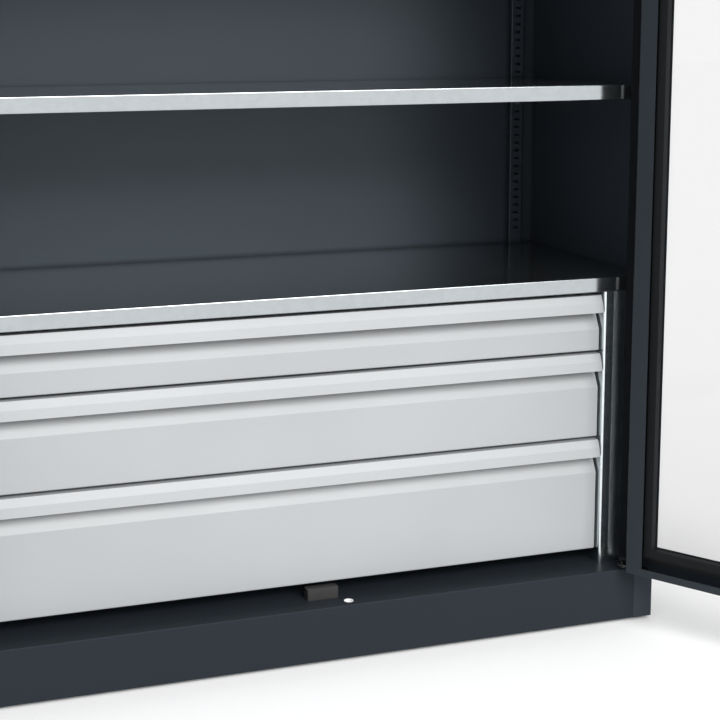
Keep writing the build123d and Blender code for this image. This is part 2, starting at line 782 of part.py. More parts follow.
def hinge_plates():
    """Upper and lower hinge plate of the right door, each with the hole for its pin."""
    low = DOOR_BOTTOM + DOOR_SHEET
    high = DOOR_TOP - DOOR_SHEET - HINGE_PLATE_THICKNESS
    tail_x = STILE_X - DOOR_SHEET - HINGE_PLATE_REACH
    with BuildPart() as plates:
        with BuildSketch(Plane.XY.offset(low)) as outline:
            with Locations((tail_x, FRONT + DOOR_SHEET + SEAT_GAP)):
                Rectangle(
                    PIVOT_X + HINGE_EYE_RADIUS - tail_x,
                    2 * HINGE_EYE_RADIUS,
                    align=(Align.MIN, Align.MIN),
                )
            chamfer(outline.vertices().group_by(Axis.X)[-1], HINGE_EYE_RADIUS / 2)
            with Locations((PIVOT_X, PIVOT_Y)):
                Circle(PIN_RADIUS + RUNNING_GAP, mode=Mode.SUBTRACT)
        extrude(amount=HINGE_PLATE_THICKNESS)
        add(plates.part.moved(Location((0, 0, high - low))))
    return plates


def hinge_pins():
    """Four pins with hexagonal collars, standing on the floor and hanging from the header."""
    seat = FLOOR_TOP + SEAT_GAP
    collar_top = DOOR_BOTTOM + DOOR_SHEET - SEAT_GAP
    with BuildPart() as pins:
        with BuildSketch(Plane.XY.offset(seat)):
            with Locations((PIVOT_X, PIVOT_Y)):
                RegularPolygon(PIN_COLLAR_RADIUS, 6)
        extrude(amount=collar_top - seat)
        with BuildSketch(Plane.XY.offset(collar_top)):
            with Locations((PIVOT_X, PIVOT_Y)):
                Circle(PIN_RADIUS)
        extrude(amount=PIN_LENGTH)
        mirror(about=Plane.XY.offset((FLOOR_TOP + HEADER_BOTTOM) / 2))
        mirror(about=Plane.YZ)
    return pins


def meeting_strip():
    """Strip on the left door that the right door closes against."""
    with BuildPart() as strip:
        with BuildSketch(upright(DOOR_INNER + SEAT_GAP)):
            with Locations((STRIP_LAP, DOOR_MIDDLE)):
                Rectangle(
                    STRIP_WIDTH,
                    DOOR_HEIGHT - 2 * STRIP_END_GAP,
                    align=(Align.MAX, Align.CENTER),
                )
        extrude(amount=-DOOR_SHEET)
    return strip


def gear_outline():
    """Points round the lock pinion, four to a tooth, seen from the front."""
    root = GEAR_RADIUS - GEAR_DEDENDUM
    tip = GEAR_RADIUS + GEAR_ADDENDUM
    half_pitch = math.pi * GEAR_MODULE / 4 - GEAR_BACKLASH
    slope = math.tan(math.radians(PRESSURE_ANGLE))
    points = []
    for tooth in range(GEAR_TEETH):
        middle = 2 * math.pi * tooth / GEAR_TEETH
        for radius, side in ((root, -1), (tip, -1), (tip, 1), (root, 1)):
            half = half_pitch - (radius - GEAR_RADIUS) * slope
            turn = middle + side * math.asin(half / radius)
            points.append((radius * math.cos(turn), radius * math.sin(turn)))
    return points


def lock_pinion():
    """Pinion on its square spindle, which the handle turns."""
    with BuildPart() as pinion:
        with BuildSketch(upright(ROD_Y - GEAR_WIDTH / 2)):
            with Locations((GEAR_X, HANDLE_Z)):
                Polygon(*gear_outline(), align=None)
        extrude(amount=-GEAR_WIDTH)
        with BuildSketch(upright(SPINDLE_FACE)):
            with Locations((GEAR_X, HANDLE_Z)):
                Rectangle(SPINDLE_SIDE, SPINDLE_SIDE)
        extrude(amount=-(ROD_Y + GEAR_WIDTH / 2 - SPINDLE_FACE))
    return pinion


def rack_cut(flat_x, into, first, last, phase):
    """Points that cut a rack into a rod: flat_x is its tooth tips, into the way to the core."""
    pitch = math.pi * GEAR_MODULE
    depth = GEAR_ADDENDUM + GEAR_DEDENDUM
    slope = math.tan(math.radians(PRESSURE_ANGLE))
    tooth_half = math.pi * GEAR_MODULE / 4 - GEAR_BACKLASH
    tip_half = tooth_half - GEAR_ADDENDUM * slope
    root_half = tooth_half + GEAR_DEDENDUM * slope
    outside = flat_x - into * 2 * ROD_RADIUS
    points = [(outside, last), (outside, first)]
    count_low = math.ceil((first + root_half - phase) / pitch)
    count_high = math.floor((last - root_half - phase) / pitch)
    points.append((flat_x + into * depth, first))
    for n in range(count_low, count_high + 1):
        z = phase + n * pitch
        points += [
            (flat_x + into * depth, z - root_half),
            (flat_x, z - tip_half),
            (flat_x, z + tip_half),
            (flat_x + into * depth, z + root_half),
        ]
    points.append((flat_x + into * depth, last))
    return points


def locking_rod(x, low, high, into, first, last, phase):
    """Round locking rod from low to high, with a rack milled between first and last."""
    with BuildPart() as rod:
        with BuildSketch(Plane.XY.offset(low)):
            with Locations((x, ROD_Y)):
                Circle(ROD_RADIUS)
        extrude(amount=high - low)
        tip = rod.edges().filter_by(GeomType.CIRCLE).sort_by(Axis.Z)[0 if into > 0 else -1]
        chamfer(tip, ROD_CHAMFER)
        with BuildSketch(upright(ROD_Y - ROD_RADIUS)):
            Polygon(*rack_cut(x - into * RACK_FLAT, into, first, last, phase), align=None)
        extrude(amount=-2 * ROD_RADIUS, mode=Mode.SUBTRACT)
    return rod


def lower_rod():
    """Rod that the pinion drives down into the cupboard floor."""
    pitch = math.pi * GEAR_MODULE
    reach = ROD_TRAVEL + RACK_END
    return locking_rod(
        ROD_X,
        DOOR_BOTTOM + ROD_REST_MARGIN,
        HANDLE_Z + reach + ROD_RADIUS,
        1,
        HANDLE_Z - RACK_END,
        HANDLE_Z + reach,
        HANDLE_Z + pitch / 2,
    )


def upper_rod():
    """Rod that the pinion drives up into the header."""
    reach = ROD_TRAVEL + RACK_END
    return locking_rod(
        UPPER_ROD_X,
        HANDLE_Z - reach - ROD_RADIUS,
        DOOR_TOP - ROD_REST_MARGIN,
        -1,
        HANDLE_Z - reach,
        HANDLE_Z + RACK_END,
        HANDLE_Z,
    )


def lock_case():
    """Closed housing of the pinion and racks, on the back of the door skin."""
    low_x = UPPER_ROD_X - ROD_RADIUS - CASE_SIDE_MARGIN
    high_x = ROD_X + ROD_RADIUS + CASE_SIDE_MARGIN
    skin = FRONT + DOOR_SHEET
    middle = (low_x + high_x) / 2
    with BuildPart() as case:
        with BuildSketch(upright(skin)):
            with Locations((middle, HANDLE_Z)):
                Rectangle(high_x - low_x, 2 * CASE_HALF_HEIGHT)
        extrude(amount=-CASE_DEPTH)
        chamfer(case.faces().sort_by(Axis.Y)[-1].edges(), CASE_WALL)
        with BuildSketch(upright(skin)):
            with Locations((middle, HANDLE_Z)):
                Rectangle(high_x - low_x - 4 * CASE_WALL, 2 * CASE_HALF_HEIGHT - 4 * CASE_WALL)
        extrude(amount=-(CASE_DEPTH - 2 * CASE_WALL), mode=Mode.SUBTRACT)
        with BuildSketch(Plane.XY.offset(HANDLE_Z - CASE_HALF_HEIGHT)):
            with Locations((UPPER_ROD_X, ROD_Y), (ROD_X, ROD_Y)):
                Rectangle(ROD_CUT_WIDTH, ROD_CUT_WIDTH)
        extrude(amount=2 * CASE_HALF_HEIGHT, mode=Mode.SUBTRACT)
    return case


def rod_guides():
    """Plastic guides with square bores, one near the end of each locking rod."""
    skin = FRONT + DOOR_SHEET
    with BuildPart() as guides:
        for x, z in ((ROD_X, DOOR_BOTTOM + GUIDE_MARGIN), (UPPER_ROD_X, DOOR_TOP - GUIDE_MARGIN)):
            with Locations((x, skin, z)):
                Box(
                    GUIDE_WIDTH,
                    GUIDE_DEPTH,
                    GUIDE_HEIGHT,
                    align=(Align.CENTER, Align.MIN, Align.CENTER),
                )
        chamfer(guides.edges().filter_by(Axis.Z).group_by(Axis.Y)[-1], GUIDE_CHAMFER)
        with BuildSketch(Plane.XY.offset(DOOR_BOTTOM)):
            with Locations((ROD_X, ROD_Y), (UPPER_ROD_X, ROD_Y)):
                Rectangle(GUIDE_BORE, GUIDE_BORE)
        extrude(amount=DOOR_HEIGHT, mode=Mode.SUBTRACT)
    return guides


def rod_bushes():
    """Light plastic bushes in the floor and the header that the locking rods enter."""
    outer = ROD_HOLE_RADIUS - RUNNING_GAP
    with BuildPart() as bushes:
        for x, seat, way in ((ROD_X, FLOOR_TOP, 1), (UPPER_ROD_X, HEADER_BOTTOM, -1)):
            with BuildSketch(Plane.XY.offset(seat + way * BUSH_RIM)):
                with Locations((x, ROD_Y)):
                    Circle(outer)
                    Circle(outer - BUSH_WALL, mode=Mode.SUBTRACT)
            extrude(amount=-way * BUSH_LENGTH)
    return bushes


def escutcheon():
    """Plate with cut corners under the handle, on the front of the door."""
    with BuildPart() as plate:
        with BuildSketch(upright(FRONT)) as outline:
            with Locations((GEAR_X, HANDLE_Z)):
                Rectangle(ESCUTCHEON_WIDTH, ESCUTCHEON_LENGTH)
            chamfer(outline.vertices(), ESCUTCHEON_WIDTH / 4)
        extrude(amount=ESCUTCHEON_THICKNESS)
        chamfer(plate.faces().sort_by(Axis.Y)[0].edges(), ESCUTCHEON_CHAMFER)
        with BuildSketch(upright(FRONT)):
            with Locations((GEAR_X, HANDLE_Z)):
                Circle(SPINDLE_RADIUS + RUNNING_GAP)
        extrude(amount=ESCUTCHEON_THICKNESS, mode=Mode.SUBTRACT)
    return plate


def handle():
    """Lever handle with a round hub that holds the lock cylinder."""
    with BuildPart() as lever:
        with BuildSketch(upright(LEVER_REAR)):
            with Locations((GEAR_X, HANDLE_Z)):
                Circle(HUB_RADIUS)
            with BuildLine():
                Polyline(
                    (GEAR_X, HANDLE_Z + HANDLE_WIDTH / 2),
                    (GEAR_X + HANDLE_LENGTH, HANDLE_Z + HANDLE_TIP_WIDTH / 2),
                    (GEAR_X + HANDLE_LENGTH, HANDLE_Z - HANDLE_TIP_WIDTH / 2),
                    (GEAR_X, HANDLE_Z - HANDLE_WIDTH / 2),
                    close=True,
                )
            make_face()
            with Locations((GEAR_X + HANDLE_LENGTH, HANDLE_Z)):
                Circle(HANDLE_TIP_WIDTH / 2)
        extrude(amount=HANDLE_THICKNESS)
        chamfer(lever.faces().sort_by(Axis.Y)[0].edges(), HANDLE_CHAMFER)
        with BuildSketch(upright(HUB_SEAT)):
            with Locations((GEAR_X, HANDLE_Z)):
                Circle(HUB_RADIUS)
        extrude(amount=HANDLE_STANDOFF)
        with BuildSketch(upright(HUB_SEAT)):
            with Locations((GEAR_X, HANDLE_Z)):
                Rectangle(SPINDLE_SIDE + 2 * SEAT_GAP, SPINDLE_SIDE + 2 * SEAT_GAP)
        extrude(amount=HUB_SEAT - HANDLE_FACE, mode=Mode.SUBTRACT)
        with BuildSketch(upright(HANDLE_FACE)):
            with Locations((GEAR_X, HANDLE_Z)):
                Circle(CYLINDER_RADIUS + RUNNING_GAP)
        extrude(amount=-CYLINDER_DEPTH, mode=Mode.SUBTRACT)
    return lever


def lock_cylinder():
    """Lock cylinder with its keyway, in the handle's hub."""
    length = CYLINDER_DEPTH - SEAT_GAP
    with BuildPart() as barrel:
        with BuildSketch(upright(HANDLE_FACE)):
            with Locations((GEAR_X, HANDLE_Z)):
                Circle(CYLINDER_RADIUS)
        extrude(amount=-length)
        with BuildSketch(upright(HANDLE_FACE)):
            with Locations((GEAR_X, HANDLE_Z)):
                Rectangle(KEYWAY_WIDTH, KEYWAY_LENGTH)
        extrude(amount=-length / 2, mode=Mode.SUBTRACT)
    return barrel


def door_stops():
    """Black stop blocks behind the meeting edges, on the floor and under the header."""
    y = FRONT + STOP_INSET
    with BuildPart() as stops:
        for z, way in ((FLOOR_TOP, Align.MIN), (HEADER_BOTTOM, Align.MAX)):
            with Locations(((STOP_LEFT + STOP_RIGHT) / 2, y, z)):
                Box(
                    STOP_RIGHT - STOP_LEFT,
                    STOP_DEPTH,
                    STOP_HEIGHT,
                    align=(Align.CENTER, Align.MIN, way),
                )
        chamfer(stops.edges().filter_by(Axis.Z), STOP_CHAMFER)
    return stops


def glides():
    """Four plastic feet, plugged into the corners of the side panels."""
    plug_x = POST_WIDTH - 2 * SHEET - 2 * SEAT_GAP
    plug_y = POST_DEPTH - 2 * SHEET - 2 * SEAT_GAP
    x = INNER_HALF_WIDTH - SEAT_GAP - plug_x / 2
    sole = (Align.CENTER, Align.CENTER, Align.MIN)
    with BuildPart() as feet:
        for side in (-1, 1):
            for y in (
                FRONT + SHEET + SEAT_GAP + plug_y / 2,
                REAR - SHEET - SEAT_GAP - plug_y / 2,
            ):
                with Locations((side * x, y, GLIDE_HEIGHT)):
                    Box(plug_x, plug_y, PLUG_HEIGHT, align=sole)
                with Locations((side * x, y, 0)):
                    Box(FOOT_SIDE, FOOT_SIDE, GLIDE_HEIGHT, align=sole)
        chamfer(feet.faces().group_by(Axis.Z)[0].edges(), FOOT_CHAMFER)
    return feet


def slide_group():
    """The outer slide members on the right, one for each drawer, as separate solids."""
    with BuildPart() as group:
        for level in drawer_bottoms().values():
            add(slide_member("outer", level + SLIDE_LIFT).part)
    return group


def write_body():
    """The fixed body: panels, rails, shelves, drawer housing and small fixed parts."""
    panel = side_panel()
    save(panel.part, "side_panel_right")
    save(mirrored(panel.part), "side_panel_left")
    save(back_panel().part, "back_panel")
    save(bottom_panel().part, "bottom_panel")
    save(top_panel().part, "top_panel")
    rail = rear_rail()
    save(rail.part, "rear_rail_right")
    save(mirrored(rail.part), "rear_rail_left")
    save(shelf(COVER_TOP, BACK_FACE - SEAT_GAP).part, "drawer_cover_shelf")
    for name, top in SHELF_TOPS.items():
        save(shelf(top, RAIL_FACE - SHELF_REAR_GAP).part, name + "_shelf")
    save(shelf_clips().part, "shelf_clips")
    housing = drawer_housing()
    save(housing.part, "drawer_housing_right")
    save(mirrored(housing.part), "drawer_housing_left")
    group = slide_group()
    save(group.part, "outer_slides_right")
    save(mirrored(group.part), "outer_slides_left")
    save(hinge_pins().part, "hinge_pins")
    save(rod_bushes().part, "rod_bushes")
    save(door_stops().part, "door_stops")
    save(glides().part, "glides")


def write_drawers():
    """The three drawers with the middle and inner members of their slides."""
    for name, level in drawer_bottoms().items():
        height = DRAWER_PITCHES[name] - FRONT_GAP
        save(drawer_front(level, height).part, name + "_drawer_front")
        save(drawer_tray(level, height).part, name + "_drawer_tray")
        for member in ("middle", "inner"):
            strip = slide_member(member, level + SLIDE_LIFT)
            save(strip.part, name + "_drawer_" + member + "_slide_right")
            save(mirrored(strip.part), name + "_drawer_" + member + "_slide_left")


def write_doors():
    """Both doors with their windows, hinge plates and lock gear."""
    both = {
        "door_window": window_pane(),
        "door_window_seal": window_seal(),
        "door_window_frame": window_frame(),
        "hinge_plates": hinge_plates(),
    }
    for name, piece in both.items():
        save(opened_right(piece.part), "right_" + name)
        save(opened_left(mirrored(piece.part)), "left_" + name)
    save(opened_right(door_panel(True).part), "right_door_panel")
    save(opened_left(mirrored(door_panel(False).part)), "left_door_panel")
    save(opened_left(meeting_strip().part), "meeting_strip")
    gear = {
        "lock_pinion": lock_pinion(),
        "lower_locking_rod": lower_rod(),
        "upper_locking_rod": upper_rod(),
        "lock_case": lock_case(),
        "rod_guides": rod_guides(),
        "escutcheon": escutcheon(),
        "handle": handle(),
        "lock_cylinder": lock_cylinder(),
    }
    for name, piece in gear.items():
        save(opened_right(piece.part), name)


if __name__ == "__main__":
    os.makedirs("parts", exist_ok=True)
    write_body()
    write_drawers()
    write_doors()
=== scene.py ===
import json
import math

import bpy
from mathutils import Matrix, Vector


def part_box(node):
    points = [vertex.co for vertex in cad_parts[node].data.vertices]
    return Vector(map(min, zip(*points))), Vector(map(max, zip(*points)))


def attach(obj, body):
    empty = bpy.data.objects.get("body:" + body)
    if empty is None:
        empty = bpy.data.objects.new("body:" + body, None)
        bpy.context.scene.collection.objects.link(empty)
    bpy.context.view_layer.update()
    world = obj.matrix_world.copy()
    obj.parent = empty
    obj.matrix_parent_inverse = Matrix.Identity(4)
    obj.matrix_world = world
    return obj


# Looks of the workshop cupboard with drawers: camera, light, floor and materials round the
# fixed frame. Lengths are in metres and angles in radians, where nothing else is said.

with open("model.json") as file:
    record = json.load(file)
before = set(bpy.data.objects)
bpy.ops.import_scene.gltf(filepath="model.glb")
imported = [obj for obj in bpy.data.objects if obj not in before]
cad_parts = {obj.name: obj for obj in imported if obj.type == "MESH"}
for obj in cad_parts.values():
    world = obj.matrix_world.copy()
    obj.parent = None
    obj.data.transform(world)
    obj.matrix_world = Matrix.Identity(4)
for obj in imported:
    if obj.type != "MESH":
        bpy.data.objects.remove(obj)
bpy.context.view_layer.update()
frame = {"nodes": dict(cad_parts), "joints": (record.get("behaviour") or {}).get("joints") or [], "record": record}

# Camera. The photograph's is level, with a strongly shifted lens. This one is tilted instead and
# keeps the shift small, so it comes near the photograph's edges and doesn't meet them all.
CAMERA_PLACE = (-0.6901, -2.1637, 1.0000)
CAMERA_YAW = 0.3125
CAMERA_PITCH = -0.1693
CAMERA_ROLL = -0.0082
CAMERA_LENS_MM = 74.4
CAMERA_SENSOR_MM = 36.0
CAMERA_SHIFT = (0.0556, -0.10)

# Light. The white surroundings fade between two heights of the view direction.
HORIZON_STRENGTH = 1.31
ZENITH_STRENGTH = 0.84
HORIZON_END = 0.05
ZENITH_START = 0.45
SUN_STRENGTH = 2.9
SUN_ANGLE = 0.60
SUN_ELEVATION_DEGREES = 31.5
SUN_AZIMUTH_DEGREES = 11.0

# Floor
FLOOR_HALF = 40.0
FLOOR_SHADE = (0.96, 0.96, 0.96)
FLOOR_ROUGHNESS = 0.9
FLOOR_SPECULAR = 0.1

# Colours, linear
WHITE = (1.0, 1.0, 1.0)
ANTHRACITE = (0.0176, 0.0216, 0.0269)
# Anthracite made lighter for the side sheets and the sheets behind the shelves, a painted light on them
ANTHRACITE_PAINTED_LIGHTER = (0.0265, 0.0325, 0.0405)
# Anthracite made darker for the window frames, a painted shade on them
FRAME_PAINTED_SHADE = (0.0120, 0.0130, 0.0142)
COOL_GLOSS = (0.80, 0.92, 1.00)
LIGHT_GREY = (0.343, 0.354, 0.363)
ZINC = (0.415, 0.444, 0.457)
DULL_ZINC = (0.750, 0.810, 0.830)
STEEL = (0.560, 0.560, 0.550)
BLACKENED = (0.060, 0.061, 0.063)
BLACK_PLASTIC = (0.020, 0.020, 0.019)
LIGHT_PLASTIC = (0.900, 0.900, 0.890)
RUBBER = (0.018, 0.018, 0.018)
# Colour of the dark strips beside the doors' hinge flanges, a painted shade
PAINTED_SHADE_STRIP_COLOUR = (0.0070, 0.0080, 0.0095)
PANE = (0.020, 0.021, 0.021)

# Powder coats: colour, roughness, specular level and tint of the gloss
POWDER_COATS = {
    "anthracite_paint": (ANTHRACITE, 0.42, 0.29, COOL_GLOSS),
    # Sides: the lighter anthracite, a painted light on the side sheets
    "side_paint": (ANTHRACITE_PAINTED_LIGHTER, 0.38, 0.12, COOL_GLOSS),
    "plinth_paint": (ANTHRACITE, 0.42, 0.08, COOL_GLOSS),
    # Window frames: the darker anthracite, a painted shade on the frames
    "frame_paint": (FRAME_PAINTED_SHADE, 0.60, 0.06, WHITE),
    "light_grey_paint": (LIGHT_GREY, 0.40, 0.40, WHITE),
}
# Sheets behind the shelves: the lighter anthracite, a painted light, with a painted seam shade added below
WALL_COAT_WITH_PAINTED_LIGHT = (ANTHRACITE_PAINTED_LIGHTER, 0.36, 0.42, COOL_GLOSS)

# Zinc coats: colour, roughness and metallic share
ZINC_COATS = {
    "galvanised_steel": (ZINC, 0.12, 0.98),
    "dull_zinc": (DULL_ZINC, 0.21, 1.00),
}

# Worked steels: colour and roughness
WORKED_STEELS = {
    "bright_steel": (STEEL, 0.28),
    "blackened_steel": (BLACKENED, 0.40),
}

# Plastics and rubbers: colour, roughness, height of the grain and specular level
MOULDINGS = {
    "black_plastic": (BLACK_PLASTIC, 0.50, 0.00004, 0.50),
    "light_plastic": (LIGHT_PLASTIC, 0.45, 0.00003, 0.50),
    "black_rubber": (RUBBER, 0.70, 0.00004, 0.20),
    # Dark matte strips beside the doors' hinge flanges, a painted shade
    "strip_rubber": (PAINTED_SHADE_STRIP_COLOUR, 0.80, 0.00004, 0.05),
}

# Window panes: share of the light that each face holds back, and greatest roughness
PANE_COVER = 0.175
PANE_ROUGHNESS = 0.006

# Scales of the noises, in periods to the metre
COAT_CLOUDS = 3.0
COAT_GLOSS_PATCHES = 14.0
COAT_PEEL = 900.0
ZINC_SPANGLE = 110.0
ZINC_STREAKS = 6.0
ZINC_WAVES = 30.0
STEEL_CLOUDS = 40.0
STEEL_MARKS = 500.0
MOULDING_CLOUDS = 60.0
MOULDING_GRAIN = 1500.0
PANE_PATCHES = 5.0

# Finer layers of the noises, and how much denser they lie along x, y and z
FINE_LAYERS = 2.0
COAT_PEEL_LAYERS = 1.0
ZINC_STREAK_LAYERS = 3.0
EVEN = (1.0, 1.0, 1.0)
ZINC_STREAK_STRETCH = (1.0, 14.0, 14.0)
ZINC_WAVE_STRETCH = (1.0, 3.0, 3.0)
STEEL_MARK_STRETCH = (1.0, 1.0, 0.1)

# Share by which a colour varies, up and down
COAT_SHADE_CHANGE = 0.03
ZINC_SHADE_CHANGE = 0.02
STEEL_SHADE_CHANGE = 0.05
MOULDING_SHADE_CHANGE = 0.08

# How far the roughness varies, down and up
COAT_GLOSS_CHANGE = (0.01, 0.01)
ZINC_GLOSS_CHANGE = (0.02, 0.03)
STEEL_GLOSS_CHANGE = (0.06, 0.06)
MOULDING_GLOSS_CHANGE = (0.05, 0.05)

# Reliefs: height and strength
COAT_RELIEF = (0.00004, 0.35)
METAL_RELIEF = (0.00003, 0.3)
MOULDING_RELIEF_STRENGTH = 0.4

# The middle part of a noise, which is spread over a whole range
NOISE_LOW = 0.25
NOISE_HIGH = 0.75

# Painted shade on the sheets behind the shelves, close to the shelves' edges
SEAM_REACH = 0.010
SEAM_SAMPLES = 8

# The dark strip along each door's hinge flange, a painted shade beside the post: its section on
# the closed right door, from the pivot, with x to the right and y to the back, and its distance
# from the door's ends
STRIP_SECTION = (
    (-0.0175, -0.0079), (0.0107, -0.0079), (0.0107, -0.0070), (0.0098, -0.0064),
    (0.0086, -0.0070), (-0.0165, -0.0071),
)
STRIP_MARGIN = 0.012
DOOR_OPEN_DEGREES = 122.0

# Nodes whose finish differs from that of the other nodes with their slot
OWN_FINISH = {
    "back_panel": "wall_coat_with_painted_light_and_shade",
    "rear_rail_left": "wall_coat_with_painted_light_and_shade",
    "rear_rail_right": "wall_coat_with_painted_light_and_shade",
    "side_panel_left": "side_paint",
    "side_panel_right": "side_paint",
    "bottom_panel": "plinth_paint",
    "left_door_window_frame": "frame_paint",
    "right_door_window_frame": "frame_paint",
    "drawer_housing_left": "dull_zinc",
    "drawer_housing_right": "dull_zinc",
    "left_hinge_plates": "blackened_steel",
    "right_hinge_plates": "blackened_steel",
}


def aim_camera():
    """Places the tilted camera that comes near the photograph's viewing angle."""
    forward = Vector((
        math.sin(CAMERA_YAW) * math.cos(CAMERA_PITCH),
        math.cos(CAMERA_YAW) * math.cos(CAMERA_PITCH),
        math.sin(CAMERA_PITCH),
    ))
    level = Vector((math.cos(CAMERA_YAW), -math.sin(CAMERA_YAW), 0.0))
    upright = level.cross(forward)
    right = level * math.cos(CAMERA_ROLL) + upright * math.sin(CAMERA_ROLL)
    up = upright * math.cos(CAMERA_ROLL) - level * math.sin(CAMERA_ROLL)
    data = bpy.data.cameras.new("camera")
    data.lens = CAMERA_LENS_MM
    data.sensor_width = CAMERA_SENSOR_MM
    data.shift_x, data.shift_y = CAMERA_SHIFT
    camera = bpy.data.objects.new("camera", data)
    turned = Matrix((right, up, -forward)).transposed().to_4x4()
    camera.matrix_world = Matrix.Translation(CAMERA_PLACE) @ turned
    bpy.context.scene.collection.objects.link(camera)
    bpy.context.scene.camera = camera


def light_world():
    """White surroundings, as bright as the floor at the horizon and dimmer overhead."""
    world = bpy.data.worlds.new("studio")
    bpy.context.scene.world = world
    world.use_nodes = True
    tree = world.node_tree
    place = tree.nodes.new("ShaderNodeTexCoord")
    split = tree.nodes.new("ShaderNodeSeparateXYZ")
    tree.links.new(place.outputs["Generated"], split.inputs["Vector"])
    fade = tree.nodes.new("ShaderNodeMapRange")
    fade.interpolation_type = "SMOOTHSTEP"
    fade.inputs["From Min"].default_value = HORIZON_END
    fade.inputs["From Max"].default_value = ZENITH_START
    fade.inputs["To Min"].default_value = HORIZON_STRENGTH
    fade.inputs["To Max"].default_value = ZENITH_STRENGTH
    tree.links.new(split.outputs["Z"], fade.inputs["Value"])
    background = tree.nodes["Background"]
    background.inputs["Color"].default_value = WHITE + (1.0,)
    tree.links.new(fade.outputs["Result"], background.inputs["Strength"])


def light_sun():
    """One broad soft key light from above, in front and a little to the right."""
    data = bpy.data.lights.new("key", "SUN")
    data.energy = SUN_STRENGTH
    data.angle = SUN_ANGLE
    key = bpy.data.objects.new("key", data)
    azimuth = math.radians(SUN_AZIMUTH_DEGREES)
    elevation = math.radians(SUN_ELEVATION_DEGREES)
    towards = Vector((
        math.sin(azimuth) * math.cos(elevation),
        -math.cos(azimuth) * math.cos(elevation),
        math.sin(elevation),
    ))
    key.matrix_world = towards.to_track_quat("Z", "Y").to_matrix().to_4x4()
    bpy.context.scene.collection.objects.link(key)


def new_object(name, points, faces, material):
    """A mesh object with the given corners, faces and material, linked to the scene."""
    mesh = bpy.data.meshes.new(name)
    mesh.from_pydata(points, [], faces)
    mesh.materials.append(material)
    placed = bpy.data.objects.new(name, mesh)
    bpy.context.scene.collection.objects.link(placed)
    return placed


def blank_material(name):
    """A new node material, its tree and its main shader."""
    material = bpy.data.materials.new(name)
    material.use_nodes = True
    tree = material.node_tree
    return material, tree, tree.nodes["Principled BSDF"]


def noise(tree, scale, layers=FINE_LAYERS, stretch=EVEN):
    """Noise over the object's own space."""
    place = tree.nodes.new("ShaderNodeTexCoord")
    mapping = tree.nodes.new("ShaderNodeMapping")
    mapping.inputs["Scale"].default_value = stretch
    texture = tree.nodes.new("ShaderNodeTexNoise")
    texture.inputs["Scale"].default_value = scale
    texture.inputs["Detail"].default_value = layers
    tree.links.new(place.outputs["Object"], mapping.inputs["Vector"])
    tree.links.new(mapping.outputs["Vector"], texture.inputs["Vector"])
    return texture.outputs["Fac"]


def spangle(tree, scale):
    """Irregular cells over the object's own space, each of another shade."""
    place = tree.nodes.new("ShaderNodeTexCoord")
    cells = tree.nodes.new("ShaderNodeTexVoronoi")
    cells.inputs["Scale"].default_value = scale
    tree.links.new(place.outputs["Object"], cells.inputs["Vector"])
    return cells.outputs["Color"]


def spread(tree, source, low, high):
    """Maps a noise smoothly onto the range from low to high."""
    node = tree.nodes.new("ShaderNodeMapRange")
    node.interpolation_type = "SMOOTHSTEP"
    node.inputs["From Min"].default_value = NOISE_LOW
    node.inputs["From Max"].default_value = NOISE_HIGH
    node.inputs["To Min"].default_value = low
    node.inputs["To Max"].default_value = high
    tree.links.new(source, node.inputs["Value"])
    return node.outputs["Result"]


def vary_colour(tree, shader, source, colour, change):
    """Lets the base colour vary by the given share, up and down, with the source."""
    node = tree.nodes.new("ShaderNodeMix")
    node.data_type = "RGBA"
    node.inputs["A"].default_value = tuple(c * (1.0 - change) for c in colour) + (1.0,)
    node.inputs["B"].default_value = tuple(min(1.0, c * (1.0 + change)) for c in colour) + (1.0,)
    tree.links.new(spread(tree, source, 0.0, 1.0), node.inputs["Factor"])
    tree.links.new(node.outputs["Result"], shader.inputs["Base Color"])


def vary_roughness(tree, shader, source, low, high):
    """Lets the roughness vary from low to high with the source."""
    tree.links.new(spread(tree, source, low, high), shader.inputs["Roughness"])


def relief(tree, shader, source, height, strength):
    """Bump of the given height."""
    bump = tree.nodes.new("ShaderNodeBump")
    bump.inputs["Distance"].default_value = height
    bump.inputs["Strength"].default_value = strength
    tree.links.new(source, bump.inputs["Height"])
    tree.links.new(bump.outputs["Normal"], shader.inputs["Normal"])


def powder_coat(name, colour, roughness, specular, gloss_tint):
    """Satin powder coat: fine orange peel, slight unevenness of gloss and shade."""
    material, tree, shader = blank_material(name)
    less, more = COAT_GLOSS_CHANGE
    vary_colour(tree, shader, noise(tree, COAT_CLOUDS), colour, COAT_SHADE_CHANGE)
    vary_roughness(
        tree, shader, noise(tree, COAT_GLOSS_PATCHES), roughness - less, roughness + more,
    )
    relief(tree, shader, noise(tree, COAT_PEEL, COAT_PEEL_LAYERS), *COAT_RELIEF)
    shader.inputs["Specular IOR Level"].default_value = specular
    shader.inputs["Specular Tint"].default_value = gloss_tint + (1.0,)
    return material


def painted_seam_shade(tree):
    """A node whose colour output darkens close to a neighbouring sheet, a painted shade like that of a narrow gap.
    """
    nearness = tree.nodes.new("ShaderNodeAmbientOcclusion")
    nearness.samples = SEAM_SAMPLES
    nearness.inputs["Distance"].default_value = SEAM_REACH
    return nearness


